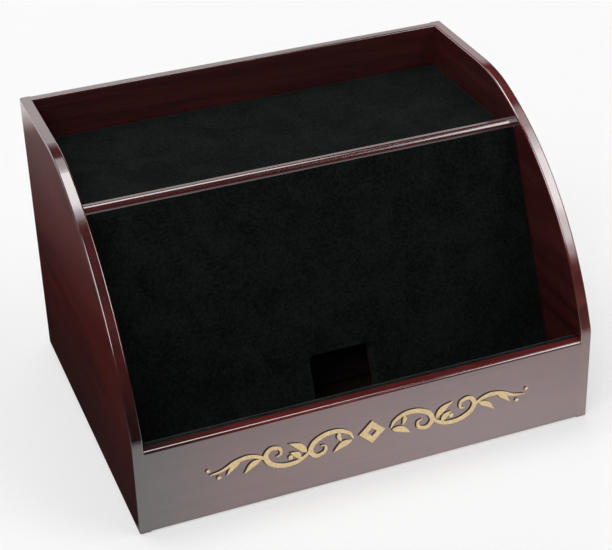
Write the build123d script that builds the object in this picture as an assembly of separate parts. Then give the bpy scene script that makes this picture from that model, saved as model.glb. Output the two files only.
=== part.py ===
from build123d import *
import os
from math import cos, radians, sin, tan

# Lacquered wooden valet box: a felt tray at the top, a felt device rest that leans back
# behind a low front board, and a drawer for chargers that pulls out of the back.
# Millimetres. +X is the box's right, +Y its back, +Z up; the origin is the middle of the
# footprint, on the table. Heights are counted from the table, depths from the front face.

# Overall size
width = 184.0
depth = 137.5
height = 116.3

# Boards and their arrises
side_board = 4.4
front_board = 4.4
back_board = 4.0
divider_board = 4.4
arris = 0.7
soft_arris = 1.1
divider_round = 2.1
fit = 0.1

# Side panel outline: upright front edge, long curve, flat top
front_rise = 40.0
crown_start = 85.0
sweep_radius = 119.5
nose_blend = 9.0
crown_blend = 60.0

# Base
pad_radius = 5.0
pad_inset_x = 15.0
pad_inset_y = 14.0
lip_drop = 0.4
base_height = 2.4
base_board = 2.6
groove = 2.0

# Front board, pocket and device rest
front_height = 36.0
liner_thickness = 2.2
liner_drop = 1.4
pocket_felt_thickness = 0.8
rest_angle = 66.5
rest_board = 3.0
rest_felt = 1.2
notch_width = 25.0
notch_height = 37.0
notch_corner = 3.0
cleat = 5.0
cleat_width = 6.0

# Divider and tray
divider_start = 60.2
divider_drop = 12.3
divider_reach = 18.0
tray_board = 3.0
tray_felt_thickness = 1.2
tray_sink = 5.2
felt_gap = 0.15

# Drawer
drawer_gap = 0.5
front_gap = 0.6
run_gap = 0.3
drawer_top = 62.0
drawer_rest_clearance = 5.9
drawer_hold = 21.4
drawer_front_board = 4.0
drawer_side_board = 4.0
drawer_end_board = 3.6
drawer_bottom_board = 2.6
drawer_bottom_rise = 1.7
drawer_groove = 1.5
drawer_side_height = 48.7
drawer_felt_thickness = 0.8
drawer_front_clearance = 1.0
pull_width = 24.0
pull_depth = 14.0
lead_width = 22.0
lead_depth = 18.0
end_tab_rise = 5.0
kicker_gap = 0.5
kicker_height = 5.6
kicker_width = 6.0
stop_width = 13.0
stop_length = 6.0
stop_gap = 0.3

# Places that follow from the sizes above
front = -depth / 2
back = depth / 2
divider_top = height - divider_drop
inner_x = width / 2 - side_board
inner_back = back - back_board
floor = base_height + base_board
rest_tan = tan(radians(rest_angle))
rest_sin = sin(radians(rest_angle))
rest_cos = cos(radians(rest_angle))
divider_front = front + divider_start
divider_back = divider_front + divider_board
rest_top = divider_top - divider_round
tray_level = divider_top - tray_sink
tray_under = tray_level - tray_felt_thickness - tray_board
liner_face = front + front_board + liner_thickness
drawer_outer_x = inner_x - drawer_gap
drawer_inner_x = drawer_outer_x - drawer_side_board
drawer_base = floor + run_gap
drawer_side_top = drawer_base + drawer_side_height
drawer_floor = drawer_base + drawer_bottom_rise + drawer_bottom_board
drawer_tab_top = drawer_side_top + end_tab_rise
drawer_face_in = back - drawer_front_board
kicker_base = drawer_side_top + kicker_gap
kicker_inner = inner_x - kicker_width


def block(x0, x1, y0, y1, z0, z1):
    """A box between two corners."""
    return Pos((x0 + x1) / 2, (y0 + y1) / 2, (z0 + z1) / 2) * Box(x1 - x0, y1 - y0, z1 - z0)


def prism_x(outline, x0, x1):
    """A face drawn in depth and height, drawn out along X from x0 to x1."""
    return Pos(x0, 0, 0) * extrude(Plane.YZ * outline, x1 - x0)


def rest_line(offset, z):
    """Depth of the plane that lies offset behind the felt of the device rest, at height z."""
    return divider_front + offset / rest_sin - (rest_top - z) / rest_tan


drawer_inner = rest_line(rest_felt + rest_board, drawer_tab_top) + drawer_rest_clearance
drawer_travel = drawer_face_in - drawer_inner - drawer_hold


def rest_slab(near, far, z0):
    """Outline of a leaning layer from height z0 up to the divider's front face."""
    high_near = rest_top - near / rest_cos
    high_far = rest_top - far / rest_cos
    points = [
        (divider_front, high_near),
        (rest_line(near, z0), z0),
        (rest_line(far, z0), z0),
        (divider_front, high_far),
    ]
    return make_face(Polyline(*points, close=True))


def arch(half_width, z0, z1, corner):
    """Doorway outline in X and height with round upper corners."""
    sketch = Pos(0, (z0 + z1) / 2) * Rectangle(2 * half_width, z1 - z0)
    tops = sketch.vertices().sort_by(Axis.Y)[-2:]
    return fillet(tops, corner)


def cut_y(outline, y0, y1):
    """An outline in X and height, driven through along Y."""
    return Pos(0, y1, 0) * extrude(Plane.XZ * outline, y1 - y0)


def corner(face, y, z):
    """The corner of a face in depth and height that lies nearest a point."""
    return face.vertices().sort_by_distance(Vector(y, z))[0]


def side_outline():
    """Side panel seen from the side, with blended ends to its long curve."""
    foot = (front, lip_drop)
    chin = (front, front_rise)
    crown = (front + crown_start, height)
    outline = make_face(
        Line(foot, chin)
        + RadiusArc(chin, crown, sweep_radius)
        + Line(crown, (back, height))
        + Line((back, height), (back, lip_drop))
        + Line((back, lip_drop), foot)
    )
    outline = fillet(corner(outline, *chin), nose_blend)
    return fillet(corner(outline, *crown), crown_blend)


def side_panel(side):
    """Side panel, rounded all round outside and along its open rim inside."""
    plain = prism_x(side_outline(), inner_x, width / 2)
    outer = fillet(plain.faces().sort_by(Axis.X)[-1].edges(), arris)
    inner = fillet(outer.faces().sort_by(Axis.X)[0].outer_wire().edges(), arris)
    rim = block(0, width, front - depth, inner_back, front_height, height * 2)
    panel = (inner & rim) + (outer - rim)
    slot = block(0, inner_x + groove, front + front_board - groove, inner_back, base_height, floor)
    panel = panel - slot
    return panel if side > 0 else mirror(panel, about=Plane.YZ)


def front_panel():
    """Low front board with its rounded top edge and the groove for the base."""
    rear = front + front_board
    tall = front_height - lip_drop
    face = Pos(front + front_board / 2, lip_drop + tall / 2) * Rectangle(front_board, tall)
    face = fillet(corner(face, front, front_height), soft_arris)
    face = fillet(corner(face, rear, front_height), arris)
    face = fillet(corner(face, front, lip_drop), arris)
    board = prism_x(face, -inner_x, inner_x)
    return board - block(-width, width, rear - groove, back, base_height, floor)


def back_panel():
    """Upper back board, from the drawer's top to the rim of the tray."""
    low = drawer_top + front_gap
    face = Pos(back - back_board / 2, (low + height) / 2) * Rectangle(back_board, height - low)
    face = fillet(face.vertices().sort_by(Axis.Y)[-2:], arris)
    face = fillet(corner(face, back, low), arris)
    return prism_x(face, -inner_x, inner_x)


def divider():
    """Cross board between the tray and the device rest, rounded over towards the rest."""
    low = divider_top - divider_reach
    middle = (divider_front + divider_back) / 2
    face = Pos(middle, (low + divider_top) / 2) * Rectangle(divider_board, divider_reach)
    face = fillet(corner(face, divider_back, divider_top), soft_arris)
    round_limit = divider_board - soft_arris - fit
    face = fillet(corner(face, divider_front, divider_top), min(divider_round, round_limit))
    return prism_x(face, -inner_x, inner_x)


def base_panel():
    """Base board let into the grooves of the sides and the front."""
    half = inner_x + groove - fit
    start = front + front_board - groove + fit
    end = drawer_face_in - run_gap
    return block(-half, half, start, end, base_height, floor)


def base_pads():
    """Four round felt pads under the base."""
    pads = []
    for x in (-1, 1):
        for y in (-1, 1):
            at = Pos(x * (width / 2 - pad_inset_x), y * (depth / 2 - pad_inset_y), base_height / 2)
            pads.append(at * Cylinder(pad_radius, base_height))
    return Compound(children=pads)


def rest_doorway():
    """Opening at the foot of the device rest that the leads come through."""
    outline = arch(notch_width / 2, base_height, notch_height, notch_corner)
    return cut_y(outline, front, back)


def rest_panel():
    """Leaning board that backs the device rest."""
    slab = prism_x(rest_slab(rest_felt, rest_felt + rest_board, floor), -inner_x, inner_x)
    return slab - rest_doorway()


def rest_cover():
    """Felt on the leaning board."""
    half = inner_x - felt_gap
    return prism_x(rest_slab(0, rest_felt, floor), -half, half) - rest_doorway()


def pocket_liner():
    """Felt-covered strip inside the front board."""
    half = inner_x - felt_gap
    top = front_height - liner_drop
    return block(-half, half, front + front_board, liner_face, floor, top)


def pocket_felt():
    """Felt on the floor of the device pocket."""
    half = inner_x - felt_gap
    end = rest_line(0, floor) - felt_gap
    return block(-half, half, liner_face + felt_gap, end, floor, floor + pocket_felt_thickness)


def tray_panel():
    """Board under the tray."""
    top = tray_level - tray_felt_thickness
    return block(-inner_x, inner_x, divider_back, inner_back, tray_under, top)


def tray_felt():
    """Felt in the tray."""
    half = inner_x - felt_gap
    low = tray_level - tray_felt_thickness
    return block(-half, half, divider_back + felt_gap, inner_back - felt_gap, low, tray_level)


def rest_cleat(side):
    """Leaning batten glued to a side panel behind the device rest."""
    near = rest_felt + rest_board
    top = divider_top - divider_reach - stop_gap
    points = [
        (rest_line(near, floor), floor),
        (rest_line(near + cleat, floor), floor),
        (rest_line(near + cleat, top), top),
        (rest_line(near, top), top),
    ]
    outline = make_face(Polyline(*points, close=True))
    batten = prism_x(outline, inner_x - cleat_width, inner_x)
    return batten if side > 0 else mirror(batten, about=Plane.YZ)


def tray_cleat(side):
    """Batten under the tray, along a side panel."""
    low = tray_under - cleat
    batten = block(inner_x - cleat_width, inner_x, divider_back, inner_back, low, tray_under)
    return batten if side > 0 else mirror(batten, about=Plane.YZ)


def tray_cleat_back():
    """Batten under the tray, along the back."""
    half = inner_x - cleat_width
    return block(-half, half, inner_back - cleat_width, inner_back, tray_under - cleat, tray_under)


def drawer_kicker(side):
    """Strip above a drawer side that stops the open drawer tipping."""
    top = kicker_base + kicker_height
    start = rest_line(rest_felt + rest_board + cleat, top) + stop_gap
    strip = block(kicker_inner, inner_x, start, inner_back, kicker_base, top)
    return strip if side > 0 else mirror(strip, about=Plane.YZ)


def drawer_stop(side):
    """Block on a kicker that catches the drawer's inner end when it is fully open."""
    start = drawer_inner + drawer_end_board + drawer_travel + stop_gap
    inner = kicker_inner - stop_width
    top = kicker_base + kicker_height
    stop = block(inner, kicker_inner, start, start + stop_length, kicker_base, top)
    return stop if side > 0 else mirror(stop, about=Plane.YZ)


def drawer_front():
    """Drawer front, inset in the back, with a round-ended finger notch for leads too."""
    half = inner_x - front_gap
    board = block(-half, half, drawer_face_in, back, drawer_front_clearance, drawer_top)
    board = fillet(board.faces().sort_by(Axis.Y)[-1].edges(), arris)
    slot_low = drawer_top - pull_depth
    bowl = Pos(0, slot_low + pull_width / 2) * Circle(pull_width / 2)
    mouth = Pos(0, slot_low + pull_width) * Rectangle(pull_width, pull_width)
    return board - cut_y(bowl + mouth, 0, depth)


def drawer_side(side):
    """Drawer side, grooved for the drawer bottom."""
    top = drawer_side_top
    board = block(drawer_inner_x, drawer_outer_x, drawer_inner, drawer_face_in, drawer_base, top)
    low = drawer_base + drawer_bottom_rise
    board = board - block(0, drawer_inner_x + drawer_groove, front, back, low, drawer_floor)
    return board if side > 0 else mirror(board, about=Plane.YZ)


def drawer_end():
    """Inner end of the drawer: a raised tab for the stops and a dip for the leads."""
    rear = drawer_inner + drawer_end_board
    board = block(-drawer_inner_x, drawer_inner_x, drawer_inner, rear, drawer_floor, drawer_side_top)
    half = kicker_inner - drawer_gap
    board = board + block(-half, half, drawer_inner, rear, drawer_side_top - arris, drawer_tab_top)
    dip_low = drawer_tab_top - lead_depth
    bowl = Pos(0, dip_low + lead_width / 2) * Circle(lead_width / 2)
    mouth = Pos(0, dip_low + lead_width) * Rectangle(lead_width, lead_width)
    return board - cut_y(bowl + mouth, front, back)


def drawer_bottom():
    """Thin drawer bottom in the side grooves, under the inner end."""
    half = drawer_inner_x + drawer_groove - fit
    low = drawer_base + drawer_bottom_rise
    return block(-half, half, drawer_inner, drawer_face_in, low, drawer_floor)


def drawer_felt():
    """Felt on the drawer's floor."""
    half = drawer_inner_x - felt_gap
    start = drawer_inner + drawer_end_board + felt_gap
    top = drawer_floor + drawer_felt_thickness
    return block(-half, half, start, drawer_face_in - felt_gap, drawer_floor, top)


pieces = {
    "side_panel_left": side_panel(-1),
    "side_panel_right": side_panel(1),
    "front_board": front_panel(),
    "back_panel": back_panel(),
    "divider": divider(),
    "base_board": base_panel(),
    "base_pads": base_pads(),
    "rest_board": rest_panel(),
    "rest_felt": rest_cover(),
    "pocket_liner": pocket_liner(),
    "pocket_felt": pocket_felt(),
    "tray_board": tray_panel(),
    "tray_felt": tray_felt(),
    "rest_cleat_left": rest_cleat(-1),
    "rest_cleat_right": rest_cleat(1),
    "tray_cleat_left": tray_cleat(-1),
    "tray_cleat_right": tray_cleat(1),
    "tray_cleat_back": tray_cleat_back(),
    "drawer_kicker_left": drawer_kicker(-1),
    "drawer_kicker_right": drawer_kicker(1),
    "drawer_stop_left": drawer_stop(-1),
    "drawer_stop_right": drawer_stop(1),
    "drawer_front": drawer_front(),
    "drawer_side_left": drawer_side(-1),
    "drawer_side_right": drawer_side(1),
    "drawer_end": drawer_end(),
    "drawer_bottom": drawer_bottom(),
    "drawer_felt": drawer_felt(),
}

os.makedirs("parts", exist_ok=True)
for name, shape in pieces.items():
    export_step(shape, f"parts/{name}.step")
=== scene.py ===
"""Looks of the lacquered valet box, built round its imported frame. Metres throughout."""
import math

import bmesh
import bpy
from mathutils import Euler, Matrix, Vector, noise


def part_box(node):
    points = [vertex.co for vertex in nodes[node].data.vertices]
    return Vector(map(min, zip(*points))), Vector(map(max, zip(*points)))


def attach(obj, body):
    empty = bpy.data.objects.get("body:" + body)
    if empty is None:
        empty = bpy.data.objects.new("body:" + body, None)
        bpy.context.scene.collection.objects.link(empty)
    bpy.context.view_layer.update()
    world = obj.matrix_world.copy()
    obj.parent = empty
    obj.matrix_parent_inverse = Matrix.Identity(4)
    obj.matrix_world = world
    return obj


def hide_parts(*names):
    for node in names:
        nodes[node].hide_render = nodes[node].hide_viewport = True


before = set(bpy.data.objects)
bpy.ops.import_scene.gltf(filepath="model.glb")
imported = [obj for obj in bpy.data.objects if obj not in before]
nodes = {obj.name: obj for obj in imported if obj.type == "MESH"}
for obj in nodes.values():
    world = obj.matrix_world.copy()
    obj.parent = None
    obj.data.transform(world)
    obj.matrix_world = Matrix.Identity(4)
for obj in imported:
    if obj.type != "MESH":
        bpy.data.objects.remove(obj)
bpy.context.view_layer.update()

MM = 0.001

# Places on the part
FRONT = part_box("front_board")[0].y
REST_ANGLE = math.radians(66.5)
REST_FELT = 1.2 * MM
DOORWAY_HALF = 12.5 * MM
DOORWAY_TOP = 37.0 * MM
DOORWAY_CORNER = 3.0 * MM

# Felt sheets: grid, edges, drop at an edge and just inside it, and slight waves
FELT_STEP = 1.3 * MM
FELT_EDGE = 0.4 * MM
FELT_DROP = 0.3 * MM
FELT_EASE = 0.1 * MM
FELT_WAVE = 0.07 * MM
FELT_WAVE_SIZE = 9.0 * MM
DOORWAY_SNAP = 0.71 * FELT_STEP
DOORWAY_DROP = 0.6 * FELT_DROP

# Liner: how far its turned edge stands up, the round of that edge, and its unevenness
LINER_PROUD = 1.2 * MM
LINER_EASE = 0.55 * MM
LINER_EASE_STEPS = 5
LINER_STATIONS = 120
LINER_PINCH = 0.25 * MM
LINER_INSET = 0.06 * MM
LINER_WAVE = 0.8 * FELT_WAVE

# Foot pads: the profile is (share of the radius, share of the height)
PAD_RADIUS = 5.0 * MM
PAD_AROUND = 48
PAD_FRAY = 0.012
PAD_FRAY_PLACE, PAD_FRAY_STEP, PAD_FRAY_RISE = 300, 0.7, 3
PAD_PROFILE = (
    (0.0, 0.0), (0.55, 0.0), (0.9, 0.0), (0.98, 0.06), (1.0, 0.2),
    (1.0, 0.5), (0.995, 0.8), (0.96, 1.0), (0.5, 1.0), (0.0, 1.0),
)

# Painted light and shade on a side panel change over these heights, on its faces and on its rim,
# and a painted reflection on the front board changes over this range of X
PANEL_HEIGHT = (0.015, 0.1)
NOSE_HEIGHT = (0.05, 0.068)
BOARD_END = (-0.089, -0.052)

# Ornament on the front board: its middle's height, how far the gold and its dark edge of painted
# shade stand proud, and that painted shade's shift up and to the left and its growth in millimetres
ORNAMENT_HEIGHT = 19.3 * MM
ORNAMENT_PROUD = 0.09 * MM
SHADE_PROUD = 0.04 * MM
SHADE_SHIFT = (-0.6, 0.52)
SHADE_GROW = 0.12

# Camera
CAMERA_PLACE = (-0.195707, -0.528261, 0.394418)
CAMERA_TURN = (60.33931, 1.919291, -20.8433)
CAMERA_LENS = 97.3286
CAMERA_SENSOR = 36.0
CAMERA_SHIFT = (0.031477, -0.085409)


# ---------------------------------------------------------------- materials
class Shader:
    """A procedural material: one Principled shader and the nodes that feed it."""

    def __init__(self, name, **values):
        self.material = bpy.data.materials.new(name)
        self.material.use_nodes = True
        self.tree = self.material.node_tree
        self.surface = self.tree.nodes["Principled BSDF"]
        for socket, value in values.items():
            self.surface.inputs[socket.replace("_", " ")].default_value = value
        self.place = self.add("ShaderNodeTexCoord").outputs["Object"]

    def add(self, kind, sockets=None, **settings):
        node = self.tree.nodes.new(kind)
        for name, value in settings.items():
            setattr(node, name, value)
        for name, value in (sockets or {}).items():
            if isinstance(value, bpy.types.NodeSocket):
                self.tree.links.new(value, node.inputs[name])
            else:
                node.inputs[name].default_value = value
        return node

    def link(self, output, socket):
        self.tree.links.new(output, self.surface.inputs[socket])

    def noise(self, scale, detail=3.0, distortion=0.0):
        """Noise whose features are 1 / scale metres, one scale for each axis."""
        place = self.add("ShaderNodeMapping", {"Vector": self.place, "Scale": scale})
        made = self.add(
            "ShaderNodeTexNoise",
            {
                "Vector": place.outputs["Vector"],
                "Scale": 1.0,
                "Detail": detail,
                "Distortion": distortion,
            },
        )
        return made.outputs["Fac"]

    def axis(self, letter, vector):
        """One part of a vector: X, Y or Z."""
        return self.add("ShaderNodeSeparateXYZ", {"Vector": vector}).outputs[letter]

    def ramp(self, value, *stops):
        """Colours by value: stops are (position, colour)."""
        node = self.add("ShaderNodeValToRGB", {"Fac": value})
        marks = node.color_ramp.elements
        while len(marks) < len(stops):
            marks.new(0.5)
        for mark, (position, colour) in zip(marks, stops):
            mark.position = position
            mark.color = (*colour, 1.0)
        return node.outputs["Color"]

    def spread(self, value, low, high, start, end):
        """Maps value from low..high to start..end, clamped."""
        node = self.add(
            "ShaderNodeMapRange",
            {"Value": value, "From Min": low, "From Max": high, "To Min": start, "To Max": end},
        )
        return node.outputs["Result"]

    def mix(self, share, first, second, way="MIX"):
        node = self.add(
            "ShaderNodeMixRGB", {"Fac": share, "Color1": first, "Color2": second}, blend_type=way
        )
        return node.outputs["Color"]

    def bump(self, *layers):
        """Bump from (value, strength, distance) layers, one on top of the other."""
        normal = None
        for value, strength, distance in layers:
            sockets = {"Height": value, "Strength": strength, "Distance": distance}
            if normal is not None:
                sockets["Normal"] = normal
            normal = self.add("ShaderNodeBump", sockets).outputs["Normal"]
        self.link(normal, "Normal")


def grain_scale(along, across, length):
    """Noise scale for a grain that runs along one axis."""
    return tuple(1 / length if axis == along else 1 / across for axis in range(3))


# Width and length of the marks in lacquered and in plain wood, and tones
FIGURE = (5 * MM, 70 * MM)
FIBRE = (0.45 * MM, 9 * MM)
PORES = (0.22 * MM, 3.2 * MM)
PLAIN_FIGURE = (7 * MM, 90 * MM)
PLAIN_FIBRE = (0.5 * MM, 12 * MM)
PORE_TONE = (0.018, 0.003, 0.003, 1.0)
UNTINTED = (1.0, 1.0, 1.0, 1.0)

# Noise scales: clouds in the lacquer's gloss, its orange peel, and the felt's marks
CLOUD, PEEL = (90.0,) * 3, (650.0,) * 3
BRUSHED, CLUMP, NAP = (75.0,) * 3, (900.0,) * 3, (3800.0,) * 3


def lacquer(name, along, tones, gloss, panel=None, end=None):
    """Dark red-brown stained wood under lacquer, its grain along one axis (0 X, 1 Y, 2 Z).
    For a side panel, the tints of painted light, shade and reflection on its faces at the foot and
    the top, and on its rim at the nose. For a front board, the tint of a painted reflection at its
    left end, which fades into the rest of it."""
    made = Shader(name, IOR=2.7)
    figure = made.noise(grain_scale(along, *FIGURE), 4.0, 0.8)
    fibre = made.noise(grain_scale(along, *FIBRE), 3.0)
    pores = made.noise(grain_scale(along, *PORES), 1.0)
    tone = made.ramp(figure, *zip((0.3, 0.52, 0.74), tones))
    tone = made.mix(1.0, tone, made.spread(fibre, 0.35, 0.65, 0.82, 1.12), "MULTIPLY")
    tone = made.mix(made.spread(pores, 0.64, 0.72, 0.0, 0.45), tone, PORE_TONE)
    rough = made.spread(made.noise(CLOUD, 2.0), 0.3, 0.7, gloss - 0.02, gloss + 0.03)
    # Painted light and shade: a side panel's faces are darker at the foot and lighter at the top,
    # and its rim is tinted at the nose
    if panel:
        foot, top, nose = [(*tint, 1.0) for tint in panel]
        normal = made.add("ShaderNodeNewGeometry").outputs["True Normal"]
        sideways = made.add("ShaderNodeMath", {0: made.axis("X", normal)}, operation="ABSOLUTE")
        face = made.spread(sideways.outputs["Value"], 0.97, 0.995, 0.0, 1.0)
        height = made.axis("Z", made.place)
        face_painted_light = made.mix(made.spread(height, *PANEL_HEIGHT, 0.0, 1.0), foot, top)
        rim_painted_light = made.mix(made.spread(height, *NOSE_HEIGHT, 0.0, 1.0), nose, UNTINTED)
        tone = made.mix(1.0, tone, made.mix(face, rim_painted_light, face_painted_light), "MULTIPLY")
    # Painted reflection: the front board's left end is tinted less red and greyer, fading out along
    # X
    if end:
        plain = made.spread(made.axis("X", made.place), *BOARD_END, 0.0, 1.0)
        tone = made.mix(1.0, tone, made.mix(plain, (*end, 1.0), UNTINTED), "MULTIPLY")
    made.link(tone, "Base Color")
    made.link(rough, "Roughness")
    made.bump((made.noise(PEEL, 1.0), 0.05, 0.05 * MM), (pores, 0.03, 0.02 * MM))
    return made.material


def plain_wood(name, along, shades):
    """Sanded wood without a finish, in three shades from dark to light."""
    made = Shader(name, IOR=1.45)
    figure = made.noise(grain_scale(along, *PLAIN_FIGURE), 4.0, 1.2)
    fibre = made.noise(grain_scale(along, *PLAIN_FIBRE), 3.0)
    tone = made.ramp(figure, *zip((0.3, 0.5, 0.72), shades))
    streak = made.spread(fibre, 0.3, 0.7, 0.86, 1.08)
    made.link(made.mix(1.0, tone, streak, "MULTIPLY"), "Base Color")
    made.link(made.spread(fibre, 0.3, 0.7, 0.62, 0.74), "Roughness")
    made.bump((fibre, 0.25, 0.08 * MM))
    return made.material


def felt(name, dark, pale, sheen, lit_edge=None):
    """Short-napped felt: clumped fibres, lint and a soft grazing sheen.
    Its last argument, if given, is a range of Y over which the felt is painted paler as a painted
    highlight along an edge, and that paler colour."""
    made = Shader(name, Roughness=0.95, IOR=1.35, Sheen_Weight=sheen, Sheen_Roughness=0.45)
    made.surface.inputs["Sheen Tint"].default_value = (0.82, 0.95, 0.9, 1.0)
    made.surface.inputs["Specular IOR Level"].default_value = 0.05
    brushed = made.noise(BRUSHED, 3.0, 0.6)
    clump = made.noise(CLUMP, 3.0)
    nap = made.noise(NAP, 2.0)
    tone = made.ramp(made.mix(0.6, brushed, clump), (0.38, dark), (0.62, pale))
    lint = (*(2.2 * level for level in pale), 1.0)
    tone = made.mix(made.spread(nap, 0.74, 0.8, 0.0, 0.5), tone, lint)
    # Painted highlight: the felt is made paler over a range of Y
    if lit_edge:
        start, end, lit_tone = lit_edge
        share = made.spread(made.axis("Y", made.place), start, end, 0.0, 0.85)
        tone = made.mix(share, tone, (*lit_tone, 1.0))
    made.link(tone, "Base Color")
    made.bump((clump, 0.5, 0.25 * MM), (nap, 0.6, 0.12 * MM))
    return made.material


def gold_fill(name):
    """Matt gold paint laid into an engraved line."""
    made = Shader(name, IOR=1.5, Metallic=0.1)
    grain = made.noise((1400.0, 1400.0, 1400.0), 3.0)
    golds = (0.80, 0.57, 0.27), (0.93, 0.70, 0.38), (0.98, 0.80, 0.50)
    made.link(made.ramp(grain, *zip((0.3, 0.55, 0.75), golds)), "Base Color")
    made.link(made.spread(grain, 0.3, 0.7, 0.38, 0.55), "Roughness")
    made.bump((grain, 0.3, 0.03 * MM))
    return made.material


def engraving_shade_paint(name):
    """Painted shade: the dark edge of an engraved line, where its wall lies in shade."""
    made = Shader(name, IOR=1.45)
    grain = made.noise((1100.0, 1100.0, 1100.0), 3.0)
    shade_tones = (0.014, 0.003, 0.002), (0.036, 0.009, 0.005)
    made.link(made.ramp(grain, *zip((0.35, 0.7), shade_tones)), "Base Color")
    made.link(made.spread(grain, 0.3, 0.7, 0.5, 0.7), "Roughness")
    made.bump((grain, 0.3, 0.04 * MM))
    return made.material


# Stains, each in three tones from deep to light. The right panel's stain and the front board's
# stain (also on the drawer front) are lighter copies of the same lacquer: painted light, where more
# light falls on them
LEFT_STAIN = ((0.050, 0.0060, 0.0070), (0.078, 0.0095, 0.0105), (0.105, 0.0150, 0.0150))
RIGHT_STAIN_PAINTED_LIT = ((0.085, 0.0085, 0.0095), (0.132, 0.0135, 0.0145), (0.178, 0.0215, 0.0205))
BOARD_STAIN = ((0.048, 0.0082, 0.0088), (0.075, 0.0122, 0.0128), (0.100, 0.0178, 0.0172))
FACE_STAIN_PAINTED_LIT = ((0.092, 0.0095, 0.0100), (0.130, 0.0145, 0.0150), (0.162, 0.0210, 0.0200))
# Painted light, shade and reflection on the side panels: face tints at the foot and the top, and a
# rim tint at the nose, darker on the left and greyer on the right
LEFT_PAINTED_LIGHT = ((0.62, 1.1, 0.95), (1.95, 1.5, 1.3), (0.32, 0.55, 0.5))
RIGHT_PAINTED_LIGHT = ((0.42, 0.8, 0.7), (0.55, 0.95, 0.85), (1.1, 2.7, 2.2))
LEFT_LACQUER = lacquer("left_lacquer", 1, LEFT_STAIN, 0.13, panel=LEFT_PAINTED_LIGHT)
RIGHT_LACQUER = lacquer("right_lacquer", 1, RIGHT_STAIN_PAINTED_LIT, 0.13, panel=RIGHT_PAINTED_LIGHT)
BOARD_LACQUER = lacquer("board_lacquer", 0, BOARD_STAIN, 0.13)
# Painted reflection at the front board's left end
FACE_LACQUER = lacquer("face_lacquer", 0, FACE_STAIN_PAINTED_LIT, 0.14, end=(0.24, 0.8, 0.7))
DRAWER_LACQUER = lacquer("drawer_lacquer", 0, FACE_STAIN_PAINTED_LIT, 0.14)
PALE = ((0.40, 0.26, 0.145), (0.50, 0.35, 0.21), (0.58, 0.42, 0.27))
STAIN = ((0.010, 0.0055, 0.0045), (0.016, 0.0085, 0.0065), (0.024, 0.013, 0.010))
WOOD_X = plain_wood("wood_across", 0, PALE)
WOOD_Y = plain_wood("wood_along", 1, PALE)
STAINED_X = plain_wood("stained_across", 0, STAIN)
STAINED_Y = plain_wood("stained_along", 1, STAIN)
BLACK_FELT = felt("black_felt", (0.0024, 0.0031, 0.0028), (0.0088, 0.0102, 0.0096), 0.045)
LINER_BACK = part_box("pocket_liner")[1].y
# Painted highlight along the liner's back top edge, where its felt edge catches the light
LINER_FELT = felt(
    "liner_felt",
    (0.0040, 0.0055, 0.0050),
    (0.0130, 0.0160, 0.0150),
    0.06,
    (LINER_BACK - 0.8 * MM, LINER_BACK - 0.25 * MM, (0.055, 0.082, 0.066)),
)
PAD_FELT = felt("pad_felt", (0.022, 0.021, 0.020), (0.048, 0.046, 0.044), 0.1)
GOLD = gold_fill("gold_fill")
ENGRAVING_SHADE = engraving_shade_paint("painted_engraving_shade")

for finish, names in (
    (LEFT_LACQUER, "side_panel_left"),
    (RIGHT_LACQUER, "side_panel_right"),
    (BOARD_LACQUER, "back_panel divider"),
    (FACE_LACQUER, "front_board"),
    (DRAWER_LACQUER, "drawer_front"),
    (WOOD_X, "tray_board tray_cleat_back"),
    (STAINED_X, "base_board rest_board drawer_end drawer_bottom"),
    (WOOD_Y, "rest_cleat_left rest_cleat_right tray_cleat_left tray_cleat_right"),
    (WOOD_Y, "drawer_kicker_left drawer_kicker_right drawer_stop_left drawer_stop_right"),
    (STAINED_Y, "drawer_side_left drawer_side_right"),
):
    for node in names.split():
        nodes[node].data.materials.clear()
        nodes[node].data.materials.append(finish)


# ---------------------------------------------------------------- felt pieces
def piece(name, mesh, material, body):
    """Puts a mesh in the scene as a piece that rides on a body."""
    mesh.materials.append(material)
    made = bpy.data.objects.new(name, mesh)
    bpy.context.scene.collection.objects.link(made)
    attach(made, body)
    return made


def finish_mesh(mesh, name, smooth=True):
    """Turns a bmesh into mesh data with its normals outwards."""
    bmesh.ops.recalc_face_normals(mesh, faces=mesh.faces)
    data = bpy.data.meshes.new(name)
    mesh.to_mesh(data)
    mesh.free()
    if smooth:
        data.shade_smooth()
    return data


def lines(length):
    """Grid lines over a length, closer together at both ends."""
    inner = length - 2 * FELT_EDGE
    count = max(2, round(inner / FELT_STEP))
    middle = [FELT_EDGE + inner * i / count for i in range(count + 1)]
    return [0.0, *middle, length]


def doorway_outline(u, v, top):
    """Nearest point on the doorway's outline, and whether (u, v) lies in the opening."""
    flank, corner = DOORWAY_HALF, DOORWAY_CORNER
    side = 1.0 if u >= 0 else -1.0
    a = abs(u)
    inside = a < flank and v < top
    if a > flank - corner and v > top - corner:
        da, dv = a - (flank - corner), v - (top - corner)
        far = math.hypot(da, dv)
        inside = far < corner
        return side * (flank - corner + da / far * corner), top - corner + dv / far * corner, inside
    if flank - a < top - v or v < 0:
        return side * flank, v, inside
    return u, top, inside


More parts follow.
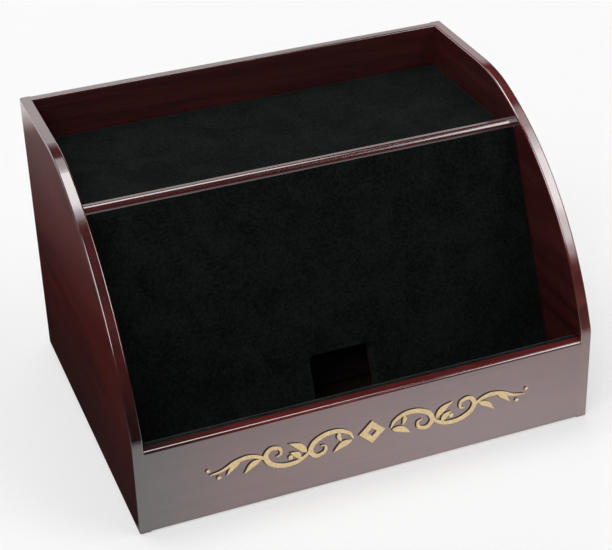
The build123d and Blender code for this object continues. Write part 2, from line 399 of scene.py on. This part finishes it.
def felt_sheet(name, origin, across, along, size, thickness, far_span=None, doorway=None):
    """A laid sheet of felt with eased edges. origin is the middle of its lower edge, on its face.
    far_span is where its underside starts and ends, doorway the height of the opening in it."""
    width, length = size
    up = across.cross(along).normalized()
    us, vs = lines(width), lines(length)
    low, high = far_span or (0.0, length)
    mesh = bmesh.new()
    near, far = [], []
    for j, v in enumerate(vs):
        for i, u in enumerate(us):
            x, y = u - width / 2, v
            drop = 0.0
            if i in (0, len(us) - 1) or j in (0, len(vs) - 1):
                drop = FELT_DROP
            elif i in (1, len(us) - 2) or j in (1, len(vs) - 2):
                drop = FELT_EASE
            if doorway:
                px, py, _ = doorway_outline(x, y, doorway)
                if math.hypot(px - x, py - y) < DOORWAY_SNAP and j > 0:
                    x, y, drop = px, py, max(drop, DOORWAY_DROP)
                elif abs(abs(x) - DOORWAY_HALF) < DOORWAY_SNAP and y < doorway - DOORWAY_CORNER:
                    x, drop = math.copysign(DOORWAY_HALF, x), DOORWAY_DROP
            place = origin + across * x + along * y
            wave = noise.noise(place / FELT_WAVE_SIZE) * FELT_WAVE
            near.append(mesh.verts.new(place + up * (wave - FELT_WAVE - drop)))
            back = low + y / length * (high - low)
            far.append(mesh.verts.new(origin + across * x + along * back - up * thickness))
    columns = len(us)
    for j in range(len(vs) - 1):
        for i in range(columns - 1):
            start, above = j * columns + i, (j + 1) * columns + i
            ring = [start, start + 1, above + 1, above]
            middle = sum((near[k].co for k in ring), Vector()) / 4 - origin
            if doorway and doorway_outline(middle.dot(across), middle.dot(along), doorway)[2]:
                continue
            mesh.faces.new([near[k] for k in ring])
            mesh.faces.new([far[k] for k in reversed(ring)])
    number = {v: k for k, v in enumerate(near)}
    rims = [e for e in mesh.edges if len(e.link_faces) == 1 and all(v in number for v in e.verts)]
    for edge in rims:
        loops = edge.link_faces[0].loops
        a, b = next((l.vert, l.link_loop_next.vert) for l in loops if l.edge == edge)
        mesh.faces.new([b, a, far[number[a]], far[number[b]]])
    bmesh.ops.delete(mesh, geom=[v for v in mesh.verts if not v.link_faces], context="VERTS")
    return finish_mesh(mesh, name)


def laid_felt(name, node, body):
    """A flat sheet of felt in the place of a CAD sheet, its face up."""
    low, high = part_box(node)
    size = (high.x - low.x, high.y - low.y)
    origin = Vector(((low.x + high.x) / 2, low.y, high.z))
    mesh = felt_sheet(name, origin, Vector((1, 0, 0)), Vector((0, 1, 0)), size, high.z - low.z)
    made = piece(name, mesh, BLACK_FELT, body)
    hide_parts(node)


laid_felt("tray_felt_sheet", "tray_felt", "case")
laid_felt("pocket_felt_sheet", "pocket_felt", "case")
laid_felt("drawer_felt_sheet", "drawer_felt", "drawer")

rest_low, rest_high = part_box("rest_felt")
slope = Vector((0, math.cos(REST_ANGLE), math.sin(REST_ANGLE)))
rest_length = (rest_high.z - rest_low.z) / math.sin(REST_ANGLE)
rest_width = rest_high.x - rest_low.x
far_low = REST_FELT / math.tan(REST_ANGLE)
far_high = rest_length - REST_FELT * math.tan(REST_ANGLE)
mesh = felt_sheet(
    "rest_felt_sheet",
    Vector((0, rest_low.y, rest_low.z)),
    Vector((1, 0, 0)),
    slope,
    (rest_width, rest_length),
    REST_FELT,
    (far_low, far_high),
    (DOORWAY_TOP - rest_low.z) / math.sin(REST_ANGLE),
)
rest_sheet = piece("rest_felt_sheet", mesh, BLACK_FELT, "case")
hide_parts("rest_felt")


def turned_edge(half):
    """Profile of a felt-covered strip's top, from its back face over to its front face."""
    quarter = [math.pi / 2 * k / LINER_EASE_STEPS for k in range(LINER_EASE_STEPS + 1)]
    start = half - LINER_EASE
    back = [(start + LINER_EASE * math.cos(a), LINER_EASE * math.sin(a)) for a in quarter]
    return back + [(-y, z) for y, z in reversed(back)]


def liner_mesh(name, node):
    """The felt-covered strip inside the front board, its felt turned over the top edge."""
    low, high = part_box(node)
    half = (high.y - low.y) / 2
    middle = (high.y + low.y) / 2
    crest = high.z + LINER_PROUD - LINER_EASE
    rows = [(half, low.z), (half, (low.z + crest) / 2)]
    rows += [(a, crest + b) for a, b in turned_edge(half)]
    rows += [(-half, (low.z + crest) / 2), (-half, low.z)]
    stations = [low.x + (high.x - low.x) * i / LINER_STATIONS for i in range(LINER_STATIONS + 1)]
    mesh = bmesh.new()
    rings = []
    for i, x in enumerate(stations):
        pinch = LINER_PINCH if i in (0, LINER_STATIONS) else 0.0
        ring = []
        for a, z in rows:
            inset = LINER_INSET - noise.noise(Vector((x, a, z)) / FELT_WAVE_SIZE) * LINER_WAVE
            shrink = 1.0 - (pinch + inset) / half
            sunk = inset if z > crest else 0.0
            ring.append(mesh.verts.new((x, middle + a * shrink, z - sunk)))
        rings.append(ring)
    for first, second in zip(rings, rings[1:]):
        for k in range(len(rows)):
            n = (k + 1) % len(rows)
            mesh.faces.new([first[k], first[n], second[n], second[k]])
    for ring in (rings[0], rings[-1]):
        mesh.faces.new(ring)
    return finish_mesh(mesh, name), (high.x - low.x, high.z + LINER_PROUD - low.z)


mesh, liner_size = liner_mesh("pocket_liner_felt", "pocket_liner")
liner = piece("pocket_liner_felt", mesh, LINER_FELT, "case")
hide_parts("pocket_liner")


def pad_mesh(name, node):
    """Four round felt pads with eased rims and slightly frayed edges."""
    low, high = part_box(node)
    height = high.z - low.z
    mesh = bmesh.new()
    for sx in (-1, 1):
        for sy in (-1, 1):
            cx = (high.x - PAD_RADIUS) * sx
            cy = (low.y + PAD_RADIUS) if sy < 0 else (high.y - PAD_RADIUS)
            grid = []
            for share, rise in PAD_PROFILE:
                ring = []
                for k in range(PAD_AROUND if share else 1):
                    angle = 2 * math.pi * k / PAD_AROUND
                    u, v = cx * PAD_FRAY_PLACE, cy * PAD_FRAY_PLACE + k * PAD_FRAY_STEP
                    fray = 1 + noise.noise(Vector((u, v, rise * PAD_FRAY_RISE)))
                    r = PAD_RADIUS * share * (1.0 - PAD_FRAY * fray)
                    x, y = cx + r * math.cos(angle), cy + r * math.sin(angle)
                    ring.append(mesh.verts.new((x, y, low.z + rise * height)))
                grid.append(ring)
            for a, b in zip(grid, grid[1:]):
                for k in range(PAD_AROUND):
                    n = (k + 1) % PAD_AROUND
                    corners = [a[k % len(a)], a[n % len(a)], b[n % len(b)], b[k % len(b)]]
                    mesh.faces.new(list(dict.fromkeys(corners)))
    return finish_mesh(mesh, name)


pads = piece("foot_pads", pad_mesh("foot_pads", "base_pads"), PAD_FELT, "case")
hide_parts("base_pads")

# ---------------------------------------------------------------- ornament
# A symmetrical scroll of gold fill on the front board, drawn for its right half.
# Millimetres from the ornament's middle, across and up.
# A scroll is its width and the points it passes, a leaf its width, base and tip, and a dot
# its radius and centre.
LOZENGE = ((0.0, 5.2), (5.4, 0.0), (0.0, -5.2), (-5.4, 0.0))
LOZENGE_EYE = 0.36
SCROLLS = (
    (2.1, (
        (7.6, -0.6), (9.4, 2.4), (13.6, 4.5), (18.8, 4.3), (23.2, 2.0),
        (24.8, -1.6), (22.6, -4.2), (19.3, -3.4), (18.8, -0.9), (20.6, 0.0),
    )),
    (2.0, (
        (24.0, 0.6), (26.4, -2.6), (30.6, -4.7), (36.2, -4.6), (40.8, -2.2),
        (42.4, 1.4), (40.2, 4.2), (36.9, 3.4), (36.4, 0.9), (38.2, 0.0),
    )),
    (1.7, ((41.6, -0.8), (44.6, 1.8), (49.0, 3.2), (54.2, 2.4), (59.0, 0.2), (64.0, -0.6))),
)
LEAVES = (
    (2.7, (8.2, -1.2), (15.6, -4.8)),
    (2.6, (26.2, -1.4), (33.2, 4.4)),
    (2.4, (28.6, -3.4), (32.8, 0.2)),
    (2.3, (44.2, 0.8), (50.8, -3.9)),
    (1.8, (52.4, 2.0), (57.6, -2.6)),
    (1.6, (13.4, 3.6), (12.4, -0.6)),
)
DOTS = ((0.95, (32.6, -1.9)), (0.8, (60.6, -2.7)), (0.7, (64.6, 1.5)))
SCROLL_STEPS = 9
SCROLL_THIN = 0.16
SCROLL_SWELL = 0.8
LEAF_SKEW = 0.75
LEAF_BOW = 0.09
LEAF_TIP = 0.05
DOT_TIP = 0.02
OUTLINE_STEPS = 12
# Across a ribbon: share of its half width, and of how far it stands proud
RIBBON = (
    (1.0, -0.6), (0.97, 0.55), (0.5, 0.9), (0.0, 1.0),
    (-0.5, 0.9), (-0.97, 0.55), (-1.0, -0.6),
)


def curve_at(t, a, b, c, d):
    """The value at share t of the way from b to c, on a rounded line through all four."""
    bend = (2 * a - 5 * b + 4 * c - d) * t**2 + (3 * b - a - 3 * c + d) * t**3
    return b + ((c - a) * t + bend) / 2


def smooth_line(points):
    """Points along a rounded line through the given ones."""
    first = [2 * a - b for a, b in zip(points[0], points[1])]
    last = [2 * a - b for a, b in zip(points[-1], points[-2])]
    run = [first, *points, last]
    made = []
    for knots in zip(run, run[1:], run[2:], run[3:]):
        for k in range(SCROLL_STEPS):
            made.append([curve_at(k / SCROLL_STEPS, *values) for values in zip(*knots)])
    return [*made, list(points[-1])]


def scroll_outline(width, points):
    """Outline of a stroke that swells in its first half and thins to its ends."""
    line = smooth_line(points)
    left, right = [], []
    for k, (x, z) in enumerate(line):
        a, b = line[max(k - 1, 0)], line[min(k + 1, len(line) - 1)]
        run = math.hypot(b[0] - a[0], b[1] - a[1])
        share = k / (len(line) - 1)
        swell = math.sin(math.pi * share**SCROLL_SWELL) ** SCROLL_SWELL
        half = width / 2 * (SCROLL_THIN + (1 - SCROLL_THIN) * swell)
        dx, dz = -(b[1] - a[1]) / run * half, (b[0] - a[0]) / run * half
        left.append((x + dx, z + dz))
        right.append((x - dx, z - dz))
    return left, right


def leaf_outline(width, base, tip):
    """Outline of a pointed leaf."""
    dx, dz = tip[0] - base[0], tip[1] - base[1]
    run = math.hypot(dx, dz)
    left, right = [], []
    ux, uz = dx / run, dz / run
    for k in range(OUTLINE_STEPS + 1):
        t = k / OUTLINE_STEPS
        half = width / 2 * math.sin(math.pi * t**LEAF_SKEW) + LEAF_TIP
        bow = LEAF_BOW * run * math.sin(math.pi * t)
        x, z = base[0] + dx * t - uz * bow, base[1] + dz * t + ux * bow
        left.append((x - uz * half, z + ux * half))
        right.append((x + uz * half, z - ux * half))
    return left, right


def dot_outline(radius, centre):
    """Outline of a dot, as a left and a right edge."""
    left, right = [], []
    for k in range(OUTLINE_STEPS + 1):
        angle = math.pi * k / OUTLINE_STEPS
        x = centre[0] - radius * math.cos(angle)
        half = radius * math.sin(angle) + DOT_TIP
        left.append((x, centre[1] + half))
        right.append((x, centre[1] - half))
    return left, right


def ornament_vertex(mesh, x, z, shift, rise):
    """A vertex on or over the front board, x and z in millimetres, rise in metres."""
    height = ORNAMENT_HEIGHT + (z + shift[1]) * MM
    return mesh.verts.new(((x + shift[0]) * MM, FRONT - rise, height))


def ribbon(mesh, left, right, sign, shift, grow, proud):
    """A low domed ribbon between two edges, let a little way into the board."""
    rings = []
    for (ax, az), (bx, bz) in zip(left, right):
        half = max(math.hypot(ax - bx, az - bz) / 2, 1e-6)
        wide = (half + grow) / half / 2
        ring = []
        for across, rise in RIBBON:
            x = (ax + bx) / 2 + (ax - bx) * wide * across
            z = (az + bz) / 2 + (az - bz) * wide * across
            ring.append(ornament_vertex(mesh, sign * x, z, shift, rise * proud))
        rings.append(ring)
    for a, b in zip(rings, rings[1:]):
        for k in range(len(a)):
            n = (k + 1) % len(a)
            mesh.faces.new([a[k], a[n], b[n], b[k]])
    mesh.faces.new(rings[0])
    mesh.faces.new(rings[-1])


def lozenge(mesh, shift, grow, proud):
    """A lozenge frame round an open eye."""
    edge = grow / 4
    rows = [(1.0 + edge, -0.6), (0.98 + edge, 0.6), (0.7, 1.0)]
    rows += [(LOZENGE_EYE, 0.6), (LOZENGE_EYE - 0.02, -0.6)]
    rings = [
        [ornament_vertex(mesh, x * scale, z * scale, shift, rise * proud) for x, z in LOZENGE]
        for scale, rise in rows
    ]
    for a, b in zip(rings, rings[1:] + rings[:1]):
        for k in range(4):
            n = (k + 1) % 4
            mesh.faces.new([a[k], a[n], b[n], b[k]])


def ornament(name, material, shift, grow, proud):
    """The whole ornament as one piece, shifted and grown in millimetres."""
    mesh = bmesh.new()
    lozenge(mesh, shift, grow, proud)
    strokes = [scroll_outline(*stroke) for stroke in SCROLLS]
    strokes += [leaf_outline(*leaf) for leaf in LEAVES]
    strokes += [dot_outline(*dot) for dot in DOTS]
    for sign in (-1, 1):
        for left, right in strokes:
            ribbon(mesh, left, right, sign, shift, grow, proud)
    piece(name, finish_mesh(mesh, name, smooth=False), material, "case")


# Painted shade: a dark copy of the ornament behind the gold, shifted up and to the left, stands for
# the shade in the engraved lines
ornament("ornament_shade", ENGRAVING_SHADE, SHADE_SHIFT, SHADE_GROW, SHADE_PROUD)
ornament("ornament_gold", GOLD, (0.0, 0.0), 0.0, ORNAMENT_PROUD)

# ---------------------------------------------------------------- floor, lights, camera
# Half its size, where the camera sees it fade to white, and how white it is at the box
FLOOR_REACH = 1.5
FLOOR_FADE = (0.35, 1.1)
FLOOR_WHITE = 0.45
# The pool of light that gloss sees in front of the box, and where it stops behind
POOL_CENTRE = (0.055, -0.075, 0.0)
POOL_SHAPE = (1.0, 2.2, 1.0)
POOL_REACH = 0.24
POOL_EDGE = 1.5
POOL_BACK = (-0.071, -0.062, 1.0, 0.02)
# The one that it sees beyond the left side: where it starts along X, and its two rises along Y
PATCH_SIDE = (-0.13, -0.105, 1.0, 0.0)
PATCH_RISE = (0.06, 0.28, 0.015, 0.15)
PATCH_START = (0.274, 0.304, 0.0, 1.1)

floor_mesh = bpy.data.meshes.new("floor")
corners = [(x * FLOOR_REACH, y * FLOOR_REACH, 0) for x, y in ((-1, -1), (1, -1), (1, 1), (-1, 1))]
floor_mesh.from_pydata(corners, [], [(0, 1, 2, 3)])
floor_paint = Shader("floor_paint", Base_Color=(0.92, 0.92, 0.92, 1.0), Roughness=0.9)
floor_paint.surface.inputs["Specular IOR Level"].default_value = 0.0
rays = floor_paint.add("ShaderNodeLightPath").outputs
seen, mirrored = rays["Is Camera Ray"], rays["Is Glossy Ray"]


def floor_vector(way, output, *vectors):
    sockets = dict(enumerate(vectors))
    return floor_paint.add("ShaderNodeVectorMath", sockets, operation=way).outputs[output]


def floor_distance(centre, shape):
    """Distance over the floor from a point, stretched along X and Y."""
    offset = floor_vector("SUBTRACT", "Vector", floor_paint.place, centre)
    return floor_vector("LENGTH", "Value", floor_vector("MULTIPLY", "Vector", offset, shape))


def floor_math(way, first, second):
    return floor_paint.add("ShaderNodeMath", {0: first, 1: second}, operation=way).outputs["Value"]


# The camera sees the floor fade to white away from the box, and gloss sees the two pools of
# light on it in a dark studio.
plain = floor_paint.spread(floor_distance((0.0,) * 3, (1.0,) * 3), *FLOOR_FADE, FLOOR_WHITE, 1.0)
spent = floor_math("DIVIDE", floor_distance(POOL_CENTRE, POOL_SHAPE), POOL_REACH)
spent = floor_math("POWER", spent, POOL_EDGE)
pool = floor_math("DIVIDE", 1.0, floor_math("ADD", spent, 1.0))
floor_x, floor_y = (floor_paint.axis(letter, floor_paint.place) for letter in "XY")
pool = floor_math("MULTIPLY", pool, floor_paint.spread(floor_y, *POOL_BACK))
rises = [floor_paint.spread(floor_y, *span) for span in (PATCH_RISE, PATCH_START)]
patch = floor_math("ADD", *rises)
patch = floor_math("MULTIPLY", patch, floor_paint.spread(floor_x, *PATCH_SIDE))
pool = floor_math("MAXIMUM", pool, patch)
share = floor_math("MAXIMUM", floor_math("MULTIPLY", plain, seen), mirrored)
shine = floor_math("MAXIMUM", seen, floor_math("MULTIPLY", pool, mirrored))
paint = floor_paint.surface.outputs["BSDF"]
glow = floor_paint.add("ShaderNodeEmission", {"Color": (1.0,) * 4, "Strength": shine})
blend = floor_paint.add(
    "ShaderNodeMixShader", {"Fac": share, 1: paint, 2: glow.outputs["Emission"]}
)
floor_end = floor_paint.tree.nodes["Material Output"].inputs["Surface"]
floor_paint.tree.links.new(blend.outputs["Shader"], floor_end)
floor_mesh.materials.append(floor_paint.material)
floor = bpy.data.objects.new("floor", floor_mesh)
bpy.context.scene.collection.objects.link(floor)


# Level softboxes under the ceiling: range of X, range of Y, and radiance
CEILING = 4.0
SOFTBOXES = {
    "over_light": ((-2.6, 1.4), (0.4, 2.02), 3.4),
    "over_fore": ((-2.6, 1.3), (0.1, 0.4), 1.3),
    "over_aft": ((-2.6, 1.3), (2.02, 3.35), 1.15),
    "right_light": ((1.9, 5.0), (-3.0, -0.75), 3.6),
    "right_fore": ((2.2, 5.2), (-5.0, -3.0), 2.4),
    "right_foot": ((2.9, 6.0), (-6.1, -5.0), 1.2),
    "right_aft": ((1.9, 4.5), (-0.75, -0.05), 2.9),
    "right_tail": ((1.9, 4.0), (-0.05, 0.8), 1.3),
    "left_light": ((-5.6, -1.0), (-5.0, -0.4), 3.0),
}
for name, (x, y, radiance) in SOFTBOXES.items():
    lamp = bpy.data.lights.new(name, "AREA")
    lamp.shape = "RECTANGLE"
    width, length = x[1] - x[0], y[1] - y[0]
    lamp.size, lamp.size_y = width, length
    lamp.energy = radiance * width * length * math.pi
    softbox = bpy.data.objects.new(name, lamp)
    softbox.location = ((x[0] + x[1]) / 2, (y[0] + y[1]) / 2, CEILING)
    bpy.context.scene.collection.objects.link(softbox)

world = bpy.data.worlds.new("studio")
world.use_nodes = True
bpy.context.scene.world = world
tree = world.node_tree
background = tree.nodes["Background"]
background.inputs["Color"].default_value = (1.0, 1.0, 1.0, 1.0)
heading = tree.nodes.new("ShaderNodeTexCoord")
parts = tree.nodes.new("ShaderNodeSeparateXYZ")
tree.links.new(heading.outputs["Generated"], parts.inputs["Vector"])


def world_range(value, low, high, start, end):
    """A smooth step over the world's directions."""
    node = tree.nodes.new("ShaderNodeMapRange")
    node.interpolation_type = "SMOOTHSTEP"
    tree.links.new(value, node.inputs["Value"])
    for name, number in (("From Min", low), ("From Max", high), ("To Min", start), ("To Max", end)):
        node.inputs[name].default_value = number
    return node.outputs["Result"]


def world_math(way, first, second):
    node = tree.nodes.new("ShaderNodeMath")
    node.operation = way
    for index, value in enumerate((first, second)):
        if isinstance(value, float):
            node.inputs[index].default_value = value
        else:
            tree.links.new(value, node.inputs[index])
    return node.outputs["Value"]


# A pale wall behind the box, brighter to the left, under a dark sky, by the direction's parts
WALL_LEVEL, SKY_LEVEL = 0.98, 0.012
WALL_TOP = (0.45, 0.545, 1.0, 0.0)
WALL_START = (0.55, 0.75, 0.0, 1.0)
WALL_LEAN = (0.15, 0.36, 1.2, 1.0)
wall = world_range(parts.outputs["Z"], *WALL_TOP)
behind = world_range(parts.outputs["Y"], *WALL_START)
lean = world_range(parts.outputs["X"], *WALL_LEAN)
pale = world_math("MULTIPLY", world_math("MULTIPLY", wall, behind), lean)
studio = world_math("ADD", world_math("MULTIPLY", pale, WALL_LEVEL - SKY_LEVEL), SKY_LEVEL)
in_view = tree.nodes.new("ShaderNodeLightPath").outputs["Is Camera Ray"]
level = world_math("MAXIMUM", studio, in_view)
tree.links.new(level, background.inputs["Strength"])

camera = bpy.data.cameras.new("camera")
camera.sensor_width = CAMERA_SENSOR
camera.sensor_fit = "HORIZONTAL"
camera.lens = CAMERA_LENS
camera.shift_x, camera.shift_y = CAMERA_SHIFT
camera_object = bpy.data.objects.new("camera", camera)
camera_object.location = CAMERA_PLACE
camera_object.rotation_euler = Euler([math.radians(a) for a in CAMERA_TURN], "XYZ")
bpy.context.scene.collection.objects.link(camera_object)
bpy.context.scene.camera = camera_object
bpy.context.scene.view_settings.view_transform = "Standard"
